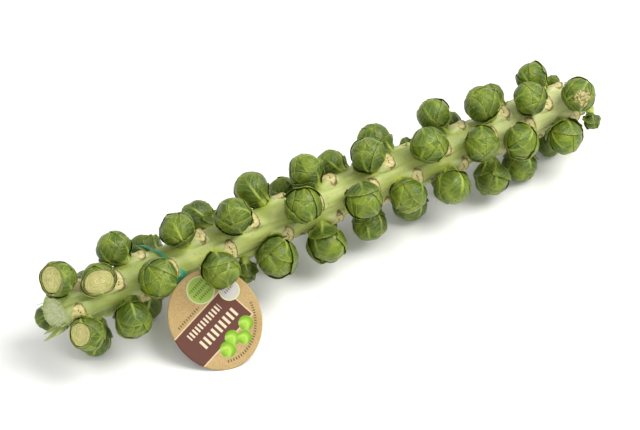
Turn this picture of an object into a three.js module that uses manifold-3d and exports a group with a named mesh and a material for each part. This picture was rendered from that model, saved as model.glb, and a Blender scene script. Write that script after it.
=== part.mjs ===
// A stalk of brussels sprouts, cut and lying on its side, with its card tag on a plastic band.
//
// Millimetres, +Z up. The stem runs along X: its root end is at +X and its crown end, cut off with a
// knife, at -X. It lies on the sprouts of its underside, whose outer leaves are pressed flat.
// A direction around the stem is a turn in degrees: 0 is straight out towards -Y and up at SPIRAL_TILT,
// and it grows over the top towards +Y.

import * as THREE from 'three';
import { mergeVertices } from 'three/addons/utils/BufferGeometryUtils.js';
import Module from 'manifold-3d';

const wasm = await Module();
wasm.setup();

// ---- Driving dimensions ----

// the stem
const STEM_HEIGHT = 52;             // of its axis above the surface it lies on
const STEM_ROOT_X = 283;            // where the root end is cut
const STEM_CROWN_X = -268;          // where the crown end is cut
const CROWN_SLANT = 0.3;            // the crown cut leans: mm along X for each mm across
const STEM_RADIUS = 15.2;           // at both ends
const STEM_SWELL = 1.8;             // extra radius of the thick part
const SWELL_X = -50;
const CUSHION_HEIGHT = 1.8;         // the swelling that carries a sprout
const CUSHION_LENGTH = 7;
const CUSHION_WIDTH = 6;
const STEM_SIDES = 20;
const STEM_ROWS = 54;

// the spiral on which the sprouts grow, from the root end to the crown
const SPIRAL_TILT = 46.6;
const FIRST_X = 274;
const FIRST_TURN = -77.1;
const TURN_STEP = -139.27;          // close to the golden angle
const ROOT_STEP = 6.1;              // along X from one sprout to the next, at the root end
const FULL_STEP = 11.5;             // and along most of the stem
const STEP_GROWTH = 16;             // sprouts over which it widens
const CROWN_STEP = 8;
const CROWN_FROM = 51;              // the sprout where the crown's closer spacing starts

// head diameters, in the order of growth; 0 is a sprout that has broken off
const DIAMETERS = [
  16, 14, 32, 30, 31, 33, 30, 32, 33, 28,
  34, 30, 34, 34, 24, 33, 31, 31, 34, 12,
  34, 32, 33, 34, 30, 33, 32, 29, 35, 31,
  32, 37, 26, 34, 32, 32, 38, 28, 34, 20,
  31, 34, 32, 33, 19, 30, 36, 32, 33, 34,
  26, 33, 30, 0, 32, 22, 33,
];

// sprouts that grew off the spiral: how far along X, how far round, how far out
const DRIFT = {
  0: [12, 0, 0],
  1: [6, -24, 0],
  2: [8, 0, 0],
  5: [9, -4, 0],
  8: [-5, 0, 0],
  13: [0, 0, 4],
  15: [5, -3, 0],
  17: [3, 0, 2],
  19: [-2, -30, 0],
  20: [5, 0, 0],
  22: [-3, 10, 0],
  27: [3, 0, 0],
  28: [7, -3, 0],
  30: [-4, 0, 0],
  32: [6, -12, 0],
  33: [4, 0, 0],
  38: [-5, 0, 0],
  39: [9, 18, 2],
  40: [5, 10, 0],
  41: [-5, -1, 9],
  43: [0, -6, -1],
  44: [7, 0, 0],
  45: [5, 8, 0],
  46: [-5, -8, 0],
  47: [10, 0, 0],
  48: [0, -4, -2],
  51: [-2, -4, 0],
  54: [-2, -15, 0],
  55: [-6, 0, 0],
  56: [6.5, 2, 0],
};

// one sprout
const NECK_LENGTH = 4.3;
const NECK_RADIUS = 4.6;
const NECK_ROOT = 7;                // how far the neck is drawn into the stem before it is trimmed
const HEAD_LEAN = 20;               // towards the crown
const HEAD_SIDES = 10;
const HEAD_LUMP = 0.03;             // how far a head is out of round
const HEAD_PROFILE = [              // [share of the head's length, share of its diameter]
  [0.08, 0.29],
  [0.28, 0.46],
  [0.52, 0.505],
  [0.75, 0.43],
  [0.93, 0.25],
];

// how the sprouts underneath carry the stalk
const PRESS = 0.8;                  // how much of an outer leaf is pressed flat
const CARRY_WITHIN = 31;            // a sprout within this many degrees of straight down carries
const SMALLEST_CARRIER = 24;

// sprouts that the knife went through: distance from the head's centre to the cut, and where it faces
const KNIFE_CUTS = {
  2: { distance: 13, facing: [-0.18, 0.92, -0.35] },
  51: { distance: 1, facing: [-0.29, 0.69, -0.65] },
  54: { distance: 9, facing: [-0.8, 0.58, 0.1] },
  56: { distance: 7, facing: [-0.86, 0.48, 0.2] },
};

// the card tag: its lower edge stands on the surface, and it leans back on the stalk
const TAG_LENGTH = 91.7;
const TAG_WIDTH = 82.1;
const TAG_THICKNESS = 0.6;
const TAG_NARROWING = 0.03;         // how much its lower end is narrower
const TAG_LEAN = 38;                // its slope above the surface
const TAG_AZIMUTH = -18;            // the way it faces, from -Y
const TAG_ROLL = 13.7;                // how far its long axis is turned in its own plane
const TAG_CENTRE_X = -141.7;
const TAG_CENTRE_Y = -58.9;
const TAG_SIDES = 40;

// the band: [along X, turn, distance from the axis], in order once around the stem
const BAND_ROUTE = [
  [-151, -52, 18.6],
  [-155, -18, 19],
  [-161, 30, 19.2],
  [-165, 62, 19.6],
  [-170, 98, 26],
  [-177, 124, 27],
  [-178, 150, 21],
  [-172, 180, 19.5],
  [-164, -150, 19.5],
  [-156, -96, 19],
];
const BAND_WIDTH = 3;
const BAND_SPREAD = 6;              // extra width where it lies flat behind the tag
const BAND_THICKNESS = 0.8;
const BAND_STEPS = 44;

const GAP = 0.3;                    // between pieces that touch

// ---- Materials ----

const material = (colour, roughness) =>
  new THREE.MeshStandardMaterial({ color: colour, roughness, metalness: 0 });
const stemGreen = material(0xb5c878, 0.6);
const leafGreen = material(0x5f8a2c, 0.5);
const cardBrown = material(0xc9ab78, 0.9);
const bandTeal = material(0x2e9c7c, 0.35);

// ---- Directions and closed bodies ----

const radians = THREE.MathUtils.degToRad;

// the unit vector across the stem at a turn
function outward(turn) {
  const rise = radians(turn) + radians(SPIRAL_TILT);
  return new THREE.Vector3(0, -Math.cos(rise), Math.sin(rise));
}

const onAxis = (x) => new THREE.Vector3(x, 0, STEM_HEIGHT);

function bodyOf(points, faces) {
  const geometry = new THREE.BufferGeometry();
  const numbers = points.flatMap((point) => point.toArray());
  geometry.setAttribute('position', new THREE.Float32BufferAttribute(numbers, 3));
  geometry.setIndex(faces.flat());
  return geometry;
}

// A skin over rings of points, closed by one point at each end. The rings turn counterclockwise
// about the direction in which they follow each other.
function closedSkin(start, rings, end) {
  const sides = rings[0].length;
  const points = [start, ...rings.flat(), end];
  const last = points.length - 1;
  const faces = [];
  const corner = (row, side) => 1 + row * sides + (side % sides);
  for (let side = 0; side < sides; side += 1) {
    faces.push([0, corner(0, side + 1), corner(0, side)]);
    for (let row = 0; row + 1 < rings.length; row += 1) {
      const [a, b] = [corner(row, side), corner(row, side + 1)];
      const [c, d] = [corner(row + 1, side), corner(row + 1, side + 1)];
      faces.push([a, b, d], [a, d, c]);
    }
    faces.push([last, corner(rings.length - 1, side), corner(rings.length - 1, side + 1)]);
  }
  return bodyOf(points, faces);
}

// A closed loop skinned over rings of points, the last joined to the first.
function closedLoop(rings) {
  const sides = rings[0].length;
  const faces = [];
  const corner = (row, side) => (row % rings.length) * sides + (side % sides);
  for (let row = 0; row < rings.length; row += 1) {
    for (let side = 0; side < sides; side += 1) {
      const [a, b] = [corner(row, side), corner(row, side + 1)];
      const [c, d] = [corner(row + 1, side), corner(row + 1, side + 1)];
      faces.push([a, b, d], [a, d, c]);
    }
  }
  return bodyOf(rings.flat(), faces);
}

// ---- Cutting ----

function solidOf(geometry) {
  const bare = geometry.clone();
  bare.deleteAttribute('normal');
  bare.deleteAttribute('uv');
  const merged = mergeVertices(bare);
  return new wasm.Manifold(new wasm.Mesh({
    numProp: 3,
    vertProperties: merged.attributes.position.array,
    triVerts: new Uint32Array(merged.index.array),
  }));
}

function geometryOf(solid) {
  const mesh = solid.getMesh();
  const geometry = new THREE.BufferGeometry();
  geometry.setAttribute('position', new THREE.BufferAttribute(new Float32Array(mesh.vertProperties), 3));
  geometry.setIndex(new THREE.BufferAttribute(new Uint32Array(mesh.triVerts), 1));
  return geometry;
}

// a block whose face passes through a point and looks back along the given direction
const CUTTER_SIZE = 120;
function cutterBeyond(point, direction) {
  const block = new THREE.BoxGeometry(CUTTER_SIZE, CUTTER_SIZE, CUTTER_SIZE);
  const along = direction.clone().normalize();
  block.applyQuaternion(new THREE.Quaternion().setFromUnitVectors(new THREE.Vector3(0, 0, 1), along));
  const centre = point.clone().addScaledVector(along, CUTTER_SIZE / 2);
  block.translate(centre.x, centre.y, centre.z);
  return solidOf(block);
}

// ---- The spiral: where every sprout grows ----

function internode(order) {
  if (order >= CROWN_FROM) return CROWN_STEP;
  return FULL_STEP - (FULL_STEP - ROOT_STEP) * Math.exp(-order / STEP_GROWTH);
}

function plainStemRadius(x) {
  const reach = (x - SWELL_X) / (STEM_ROOT_X - SWELL_X);
  return STEM_RADIUS + STEM_SWELL * Math.max(0, 1 - reach * reach);
}

// degrees between a turn and straight down
function fromStraightDown(turn) {
  return THREE.MathUtils.radToDeg(outward(turn).angleTo(new THREE.Vector3(0, 0, -1)));
}

// the head's distance from the axis: its neck's length, or what its share of the load asks for
function headDistance(x, turn, radius) {
  const angle = fromStraightDown(turn);
  if (angle < CARRY_WITHIN && 2 * radius >= SMALLEST_CARRIER) {
    return (STEM_HEIGHT - radius + PRESS) / Math.cos(radians(angle));
  }
  return plainStemRadius(x) + (NECK_LENGTH + radius) * Math.cos(radians(HEAD_LEAN));
}

function growSprouts() {
  const sprouts = [];
  let spiralX = FIRST_X;
  DIAMETERS.forEach((diameter, order) => {
    if (order > 0) spiralX -= internode(order);
    if (diameter === 0) return;
    const [along, round, out] = DRIFT[order] ?? [0, 0, 0];
    const radius = diameter / 2;
    const turn = FIRST_TURN + TURN_STEP * order + round;
    const x = spiralX + along;
    const distance = headDistance(x, turn, radius) + out;
    const rise = distance - plainStemRadius(x);
    const baseX = x + rise * Math.tan(radians(HEAD_LEAN));
    sprouts.push({
      order,
      radius,
      turn,
      baseX,
      base: onAxis(baseX).addScaledVector(outward(turn), plainStemRadius(x)),
      centre: onAxis(x).addScaledVector(outward(turn), distance),
    });
  });
  return sprouts;
}

const sprouts = growSprouts();

// ---- Stem: one woody shaft with a cushion under every sprout ----

// radius of the stem at a place, with `extra` added all over
function stemRadius(x, turn, extra) {
  const plain = plainStemRadius(x);
  let cushions = 0;
  for (const sprout of sprouts) {
    const along = (x - sprout.baseX) / CUSHION_LENGTH;
    const wrapped = THREE.MathUtils.euclideanModulo(turn - sprout.turn + 180, 360) - 180;
    const across = (radians(wrapped) * plain) / CUSHION_WIDTH;
    const size = Math.min(1, sprout.radius / 12);
    cushions += size * Math.exp(-(along * along + across * across) / 2);
  }
  return plain + CUSHION_HEIGHT * Math.min(1, cushions) + extra;
}

function stemBody(extra) {
  const rings = [];
  for (let row = 0; row <= STEM_ROWS; row += 1) {
    const share = row / STEM_ROWS;
    const ring = [];
    for (let side = 0; side < STEM_SIDES; side += 1) {
      const turn = (360 * side) / STEM_SIDES;
      const crownX = STEM_CROWN_X + CROWN_SLANT * STEM_RADIUS * Math.cos(radians(turn));
      const x = THREE.MathUtils.lerp(STEM_ROOT_X + extra, crownX - extra, share);
      ring.push(onAxis(x).addScaledVector(outward(turn), stemRadius(x, turn, extra)));
    }
    rings.push(ring);
  }
  return closedSkin(onAxis(STEM_ROOT_X + extra), rings, onAxis(STEM_CROWN_X - extra));
}

// ---- Sprouts: a ball of folded leaves on a short neck that leans towards the crown ----

function sproutBody(sprout) {
  const { order, radius, base, centre } = sprout;
  const axis = centre.clone().sub(base).normalize();
  const across = new THREE.Vector3(1, 0, 0).cross(axis).normalize();
  const other = axis.clone().cross(across);
  const bottom = centre.clone().addScaledVector(axis, -radius);
  const foot = base.clone().addScaledVector(axis, -NECK_ROOT);
  const neckRadius = Math.min(NECK_RADIUS, radius * 0.45);

  const ringAt = (middle, size, lump) => {
    const ring = [];
    for (let side = 0; side < HEAD_SIDES; side += 1) {
      const angle = (2 * Math.PI * side) / HEAD_SIDES;
      const reach = size * (1 + lump * Math.sin(3 * angle + order) + lump * Math.cos(2 * angle - order));
      ring.push(middle.clone()
        .addScaledVector(across, reach * Math.cos(angle))
        .addScaledVector(other, reach * Math.sin(angle)));
    }
    return ring;
  };
  const rings = [ringAt(foot, neckRadius, 0), ringAt(bottom, neckRadius, 0)];
  for (const [length, width] of HEAD_PROFILE) {
    const middle = bottom.clone().addScaledVector(axis, length * 2 * radius);
    rings.push(ringAt(middle, width * 2 * radius, HEAD_LUMP));
  }
  const top = bottom.clone().addScaledVector(axis, 2 * radius);
  return closedSkin(foot, rings, top);
}

function knifeCutter(sprout) {
  const { distance, facing } = KNIFE_CUTS[sprout.order];
  const [along, out, up] = facing;
  const direction = new THREE.Vector3(along, 0, 0)
    .addScaledVector(outward(0), out)
    .addScaledVector(outward(90), up)
    .normalize();
  return cutterBeyond(sprout.centre.clone().addScaledVector(direction, distance), direction);
}

function floorBelow(sprout) {
  const below = new THREE.Vector3(sprout.centre.x, sprout.centre.y, 0);
  return cutterBeyond(below, new THREE.Vector3(0, 0, -1));
}

// ---- Tag: an egg-shaped card ----

function tagBody() {
  const outline = new THREE.Shape();
  for (let side = 0; side < TAG_SIDES; side += 1) {
    const angle = (2 * Math.PI * side) / TAG_SIDES;
    const width = (TAG_WIDTH / 2) * Math.sin(angle) * (1 + TAG_NARROWING * Math.cos(angle));
    const height = (TAG_LENGTH / 2) * Math.cos(angle);
    if (side === 0) outline.moveTo(width, height);
    else outline.lineTo(width, height);
  }
  outline.closePath();
  const card = new THREE.ExtrudeGeometry(outline, { depth: TAG_THICKNESS, bevelEnabled: false });
  card.rotateZ(radians(TAG_ROLL));
  card.rotateX(radians(TAG_LEAN));
  card.rotateZ(radians(TAG_AZIMUTH));
  card.computeBoundingBox();
  card.translate(TAG_CENTRE_X, TAG_CENTRE_Y, -card.boundingBox.min.z);
  return card;
}

// ---- Band: a plastic strip looped once around the stem, spread flat behind the tag ----

function bandBody() {
  const places = BAND_ROUTE.map(([x, turn, distance]) =>
    onAxis(x).addScaledVector(outward(turn), distance));
  const route = new THREE.CatmullRomCurve3(places, true, 'centripetal');
  const rings = [];
  for (let step = 0; step < BAND_STEPS; step += 1) {
    const share = step / BAND_STEPS;
    const middle = route.getPointAt(share);
    const forward = route.getTangentAt(share);
    const out = middle.clone().sub(onAxis(middle.x)).normalize();
    const wide = forward.clone().cross(out).normalize();
    const thick = wide.clone().cross(forward).normalize();
    const nearTag = Math.exp(-(Math.min(share, 1 - share) ** 2) / 0.006);
    const halfWidth = (BAND_WIDTH + BAND_SPREAD * nearTag) / 2;
    const halfThickness = BAND_THICKNESS / 2;
    rings.push([[1, 1], [1, -1], [-1, -1], [-1, 1]].map(([a, b]) => middle.clone()
      .addScaledVector(wide, a * halfWidth)
      .addScaledVector(thick, b * halfThickness)));
  }
  return closedLoop(rings);
}

// ---- The assembly ----

const group = new THREE.Group();

function add(name, geometry, look) {
  const mesh = new THREE.Mesh(geometry, look);
  mesh.name = name;
  group.add(mesh);
}

add('stem', stemBody(0), stemGreen);

const stemWithGap = solidOf(stemBody(GAP));
for (const sprout of sprouts) {
  let body = solidOf(sproutBody(sprout)).subtract(stemWithGap);
  if (KNIFE_CUTS[sprout.order]) body = body.subtract(knifeCutter(sprout));
  if (sprout.centre.z - sprout.radius < 0) body = body.subtract(floorBelow(sprout));
  add(`sprout_${String(sprout.order + 1).padStart(2, '0')}`, geometryOf(body), leafGreen);
}

add('tag', tagBody(), cardBrown);
add('band', bandBody(), bandTeal);

// the origin is under the middle of the whole stalk, on the surface it lies on
const box = new THREE.Box3().setFromObject(group);
group.position.set(-(box.min.x + box.max.x) / 2, -(box.min.y + box.max.y) / 2, -box.min.z);

export default group;
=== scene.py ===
"""A stalk of brussels sprouts lying on its side, with its card tag on a plastic band.

Metres throughout. The stem runs along X: root end at +X, crown end, cut off with a knife, at -X.
"""

import math

import bmesh
import bpy
import numpy as np
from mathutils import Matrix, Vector


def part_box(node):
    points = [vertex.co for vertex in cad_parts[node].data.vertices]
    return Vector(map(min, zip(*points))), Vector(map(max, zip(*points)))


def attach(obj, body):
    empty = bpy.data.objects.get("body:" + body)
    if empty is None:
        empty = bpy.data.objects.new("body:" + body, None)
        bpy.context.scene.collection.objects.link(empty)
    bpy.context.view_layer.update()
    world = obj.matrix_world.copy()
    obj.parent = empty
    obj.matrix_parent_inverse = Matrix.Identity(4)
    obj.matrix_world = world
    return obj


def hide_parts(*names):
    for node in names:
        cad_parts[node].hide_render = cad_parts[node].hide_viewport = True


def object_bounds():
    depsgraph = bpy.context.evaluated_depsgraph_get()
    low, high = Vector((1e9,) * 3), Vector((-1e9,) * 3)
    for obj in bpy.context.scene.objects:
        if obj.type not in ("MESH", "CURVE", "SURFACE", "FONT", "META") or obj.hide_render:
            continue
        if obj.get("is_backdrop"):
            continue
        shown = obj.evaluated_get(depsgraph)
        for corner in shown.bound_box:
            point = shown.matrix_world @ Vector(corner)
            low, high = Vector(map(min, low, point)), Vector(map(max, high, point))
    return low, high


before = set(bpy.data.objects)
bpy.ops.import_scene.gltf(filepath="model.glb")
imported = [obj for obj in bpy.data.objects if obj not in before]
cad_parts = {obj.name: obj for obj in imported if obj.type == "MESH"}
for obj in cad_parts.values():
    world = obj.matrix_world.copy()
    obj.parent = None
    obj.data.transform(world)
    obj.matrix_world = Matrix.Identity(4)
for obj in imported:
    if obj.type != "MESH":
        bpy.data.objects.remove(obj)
cad_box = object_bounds()


# ---- Camera, floor and light ----
# The stalk is seen from above its side, along a long lens, on a plain pale floor under a broad
# soft lamp from the upper right and a bright room.

SAME_PLANE = 1e-5
stem_points = np.array([vertex.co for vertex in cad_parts["stem"].data.vertices])
root_face = stem_points[stem_points[:, 0] > stem_points[:, 0].max() - SAME_PLANE]
ROOT_X, AXIS_Y, AXIS_Z = (root_face.min(0) + root_face.max(0)) / 2

AIM = Vector((ROOT_X - 0.2842, AXIS_Y - 0.0067, AXIS_Z - 0.0070))
CAMERA_AZIMUTH = math.radians(-31.6)
CAMERA_ELEVATION = math.radians(42)
CAMERA_DISTANCE = 3.0
LENS_MM = 187.5
SENSOR_MM = 36
ROOM_LIGHT = 0.84
FLOOR_SIZE = 8

towards_camera = Vector((
    math.sin(CAMERA_AZIMUTH) * math.cos(CAMERA_ELEVATION),
    -math.cos(CAMERA_AZIMUTH) * math.cos(CAMERA_ELEVATION),
    math.sin(CAMERA_ELEVATION),
))
camera = bpy.data.objects.new("camera", bpy.data.cameras.new("camera"))
bpy.context.scene.collection.objects.link(camera)
camera.data.lens = LENS_MM
camera.data.sensor_width = SENSOR_MM
camera.location = AIM + towards_camera * CAMERA_DISTANCE
camera.rotation_euler = towards_camera.to_track_quat("Z", "Y").to_euler()
bpy.context.scene.camera = camera


def area_lamp(name, direction, distance, size, watts, colour):
    """A square lamp at a distance from the stalk's middle in a direction, facing it."""
    lamp = bpy.data.lights.new(name, "AREA")
    lamp.size = size
    lamp.energy = watts
    lamp.color = colour
    holder = bpy.data.objects.new(name, lamp)
    bpy.context.scene.collection.objects.link(holder)
    away = Vector(direction).normalized()
    holder.location = away * distance
    holder.rotation_euler = away.to_track_quat("Z", "Y").to_euler()


area_lamp(
    "key_lamp", direction=(0.55, -0.35, 1.0), distance=2.0, size=1.3, watts=40,
    colour=(1.0, 0.985, 0.96))
area_lamp(
    "fill_lamp", direction=(-0.9, -0.8, 0.7), distance=2.4, size=1.8, watts=9,
    colour=(0.97, 0.99, 1.0))

room = bpy.data.worlds.new("room")
room.use_nodes = True
room.node_tree.nodes["Background"].inputs["Color"].default_value = (1.0, 1.0, 1.0, 1)
room.node_tree.nodes["Background"].inputs["Strength"].default_value = ROOM_LIGHT
bpy.context.scene.world = room
bpy.context.scene.view_settings.view_transform = "Standard"


class Number:
    """A value that changes over a surface. Arithmetic on it adds Math nodes."""

    def __init__(self, finish, socket):
        self.finish = finish
        self.socket = socket

    def math(self, operation, *values):
        inputs = dict(enumerate(values))
        return self.finish.node("ShaderNodeMath", {"operation": operation}, inputs)

    def __add__(self, other):
        return self.math("ADD", self, other)

    def __sub__(self, other):
        return self.math("SUBTRACT", self, other)

    def __rsub__(self, other):
        return self.math("SUBTRACT", other, self)

    def __mul__(self, other):
        return self.math("MULTIPLY", self, other)

    def __pow__(self, other):
        return self.math("POWER", self, other)

    __radd__ = __add__
    __rmul__ = __mul__

    def size(self):
        return self.math("ABSOLUTE", self)

    def sine(self):
        return self.math("SINE", self)

    def least(self, other):
        return self.math("MINIMUM", self, other)

    def most(self, other):
        return self.math("MAXIMUM", self, other)

    def between(self, low, high):
        """0 up to low, 1 from high, and smooth between them; low may be the larger."""
        settings = {"interpolation_type": "SMOOTHSTEP"}
        limits = {"Value": self, "From Min": low, "From Max": high}
        if low > high:
            limits = {"Value": 0 - self, "From Min": -low, "From Max": -high}
        return self.finish.node("ShaderNodeMapRange", settings, limits)


class Finish:
    """A material being made: every node comes from node(), and paint() connects the result."""

    def __init__(self, name):
        self.material = bpy.data.materials.new(name)
        self.material.use_nodes = True
        self.tree = self.material.node_tree
        self.shader = self.tree.nodes["Principled BSDF"]

    def feed(self, socket, value):
        """Links a Number to a socket, or sets the socket to a fixed value."""
        if isinstance(value, Number):
            self.tree.links.new(value.socket, socket)
        else:
            socket.default_value = value

    def node(self, kind, settings=None, inputs=None, output=0):
        """One output of a new node with these settings and inputs."""
        made = self.tree.nodes.new(kind)
        for key, value in (settings or {}).items():
            setattr(made, key, value)
        for key, value in (inputs or {}).items():
            self.feed(made.inputs[key], value)
        return Number(self, made.outputs[output])

    def place(self):
        """The point itself, in metres."""
        return self.node("ShaderNodeTexCoord", output="Object")

    def value(self, attribute):
        """One of the values that the mesh carries at its points."""
        return self.node("ShaderNodeAttribute", {"attribute_name": attribute}, output="Fac")

    def noise(self, scale, detail=2, stretch=(1, 1, 1)):
        """Smooth random values about 0.5; scale is patches per metre, roughly."""
        place = self.node("ShaderNodeMapping", {}, {"Vector": self.place(), "Scale": stretch})
        inputs = {"Vector": place, "Scale": scale, "Detail": detail}
        return self.node("ShaderNodeTexNoise", {}, inputs)

    def mix(self, factor, first, second):
        """first where factor is 0, second where it is 1; both are colours."""
        inputs = {0: factor, 6: first, 7: second}
        return self.node("ShaderNodeMix", {"data_type": "RGBA"}, inputs, output=2)

    def coats(self, colour, *coats):
        """A colour with coats over it, each an amount (0 to 1) and a colour."""
        for amount, coat in coats:
            colour = self.mix(amount, colour, coat)
        return colour

    def paint(self, colour, roughness, height=None, depth=0.0, specular=0.5):
        """The finished material; height is bump, and depth what a height of 1 stands for."""
        self.feed(self.shader.inputs["Base Color"], colour)
        self.feed(self.shader.inputs["Roughness"], roughness)
        self.feed(self.shader.inputs["Specular IOR Level"], specular)
        if height is not None:
            bump = self.node("ShaderNodeBump", {}, {"Height": height, "Distance": depth})
            self.feed(self.shader.inputs["Normal"], bump)
        return self.material


def srgb(red, green, blue):
    """A colour given as 0 to 255 on a screen, as the shader's linear values."""
    shares = (np.array([red, green, blue]) / 255.0 + 0.055) / 1.055
    return (*(float(share) for share in shares ** 2.4), 1.0)


def floor_finish():
    """Matt, pale grey and very slightly cloudy."""
    finish = Finish("pale_floor")
    grey = finish.mix(finish.noise(3.0), (0.86, 0.86, 0.85, 1), (0.88, 0.88, 0.87, 1))
    return finish.paint(grey, 0.75)


bpy.ops.mesh.primitive_plane_add(size=FLOOR_SIZE)
floor = bpy.context.object
floor.name = "floor"
floor.data.materials.append(floor_finish())
floor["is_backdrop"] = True


# ---- The spiral of growth ----
# Sprouts grow one after another on a spiral round the stem, from the root end to the crown, and the
# largest that hang below carry the stalk. A turn is a direction round the stem: 0 is out to -Y and
# up by SPIRAL_TILT, and it grows over the top. Of HEAD_DIAMETERS_MM, 0 is a sprout that is missing.

CROWN_X = ROOT_X - 0.551
STEM_RADIUS = 0.0152
STEM_SWELL = 0.0018
SWELL_X = ROOT_X - 0.333
SPIRAL_TILT = math.radians(46.6)
FIRST_X = ROOT_X - 0.009
FIRST_TURN = math.radians(-77.1)
TURN_STEP = math.radians(-139.27)
ROOT_STEP = 0.0061
FULL_STEP = 0.0115
STEP_GROWTH = 16
CROWN_STEP = 0.008
CROWN_FROM = 51
NECK_LENGTH = 0.0043
HEAD_LEAN = math.radians(20)
PRESS = 0.0008
CARRY_WITHIN = math.radians(31)
SMALLEST_CARRIER = 0.024
HEAD_DIAMETERS_MM = [
    16, 14, 32, 30, 31, 33, 30, 32, 33, 28,
    34, 30, 34, 34, 24, 33, 31, 31, 34, 12,
    34, 32, 33, 34, 30, 33, 32, 29, 35, 31,
    32, 37, 26, 34, 32, 32, 38, 28, 34, 20,
    31, 34, 32, 33, 19, 30, 36, 32, 33, 34,
    26, 33, 30, 0, 32, 22, 33,
]
# sprouts off the spiral: millimetres along X, degrees round, millimetres out
DRIFT = {
    0: (12, 0, 0), 1: (6, -24, 0), 2: (8, 0, 0), 5: (9, -4, 0), 8: (-5, 0, 0),
    13: (0, 0, 4), 15: (5, -3, 0), 17: (3, 0, 2), 19: (-2, -30, 0), 20: (5, 0, 0),
    22: (-3, 10, 0), 27: (3, 0, 0), 28: (7, -3, 0), 30: (-4, 0, 0), 32: (6, -12, 0),
    33: (4, 0, 0), 38: (-5, 0, 0), 39: (9, 18, 2), 40: (5, 10, 0), 41: (-5, -1, 9),
    43: (0, -6, -1), 44: (7, 0, 0), 45: (5, 8, 0), 46: (-5, -8, 0), 47: (10, 0, 0),
    48: (0, -4, -2), 51: (-2, -4, 0), 54: (-2, -15, 0), 55: (-6, 0, 0), 56: (6.5, 2, 0),
}


def outward(turn):
    """The unit vector across the stem at a turn: up from -Y by the turn plus the tilt."""
    rise = np.asarray(turn) + SPIRAL_TILT
    return np.stack([np.zeros_like(rise), -np.cos(rise), np.sin(rise)], -1)


def on_axis(x):
    """The point of the stem's axis at x."""
    x = np.asarray(x, float)
    return np.stack([x, np.full_like(x, AXIS_Y), np.full_like(x, AXIS_Z)], -1)


def plain_radius(x):
    """The stem without its cushions: thickest at SWELL_X, and a parabola to its ends."""
    reach = (x - SWELL_X) / (ROOT_X - SWELL_X)
    return STEM_RADIUS + STEM_SWELL * np.maximum(0, 1 - reach * reach)


class Sprout:
    """Where one sprout grows and how large it is. Its head leans towards the crown. A large one
    that hangs within CARRY_WITHIN of straight down rests on the surface, pressed in by PRESS."""

    def __init__(self, order, spiral_x):
        along, round_stem, out = DRIFT.get(order, (0, 0, 0))
        self.order = order
        self.node = f"sprout_{order + 1:02d}"
        self.radius = HEAD_DIAMETERS_MM[order] / 2000
        self.turn = FIRST_TURN + TURN_STEP * order + math.radians(round_stem)
        x = spiral_x + along / 1000
        angle_down = math.acos(-outward(self.turn)[2])
        if angle_down < CARRY_WITHIN and 2 * self.radius >= SMALLEST_CARRIER:
            distance = (AXIS_Z - self.radius + PRESS) / math.cos(angle_down)
        else:
            distance = plain_radius(x) + (NECK_LENGTH + self.radius) * math.cos(HEAD_LEAN)
        distance += out / 1000
        rise = distance - plain_radius(x)
        self.base_x = x + rise * math.tan(HEAD_LEAN)
        self.base = on_axis(self.base_x) + outward(self.turn) * plain_radius(x)
        self.centre = on_axis(x) + outward(self.turn) * distance


def grow_sprouts():
    """Every sprout of the spiral, its spacing widening from the root end."""
    sprouts = []
    x = FIRST_X
    for order, diameter in enumerate(HEAD_DIAMETERS_MM):
        if order >= CROWN_FROM:
            x -= CROWN_STEP
        elif order > 0:
            x -= FULL_STEP - (FULL_STEP - ROOT_STEP) * math.exp(-order / STEP_GROWTH)
        if diameter:
            sprouts.append(Sprout(order, x))
    return sprouts


sprouts = grow_sprouts()


# ---- Stem ----
# One woody shaft, pale green and ribbed, swollen under every sprout. On the root side of each neck
# is the scar of the leaf that fed it: a beige oval with a thin brown edge and a row of dots, where
# the leaf's veins ran in. The crown end is torn and stringy; the root end is cut flat and dry. A few
# strips of torn skin hang on both.

STEM_ROWS = 500
STEM_SIDES = 180
CAP_ROWS = 14
CROWN_SLANT = 0.3
WAVE_COUNT = 7
FULL_SIZE_RADIUS = 0.013
SCAR_OFFSET = 0.0118
SCAR_LENGTH = 0.0072
SCAR_WIDTH = 0.0080
SCAR_DEPTH = 0.00030
NO_SCAR = 9.0
SHELF_HEIGHT = 0.0052
SHELF_WIDTH = 0.0086
SHELF_START = 0.017
SHELF_RISE = 0.015
SHELF_STEP = 0.60
STEP_LENGTH = 0.0020
RIDGE_LENGTH = 0.024
RIDGE_SPREAD = 8
BUD_HEIGHT = 0.0010
BUD_LIMIT = 0.0015
BUD_REACH = 0.0065
GROOVE_HEIGHT = 0.0015
GROOVE_SPACING = 0.024
GRAIN_HEIGHT = 0.00012
GRAIN_SPACING = 0.0035
CROWN_PITS = 0.0008
ROOT_PITS = 0.0002
# the crown's torn edge: height and length of its waves, and their seed
TEARS = [(0.0011, 0.012, 5), (0.0007, 0.004, 6)]
TEAR_RADIUS = 0.03
# a scar off its usual place, by its sprout's order: metres along the stem and round it
SCAR_SHIFTS = {54: (-0.0185, 0.006)}


def eased(share):
    """0 up to 0, 1 from 1, and smooth between them."""
    share = np.clip(share, 0, 1)
    return share * share * (3 - 2 * share)


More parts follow.
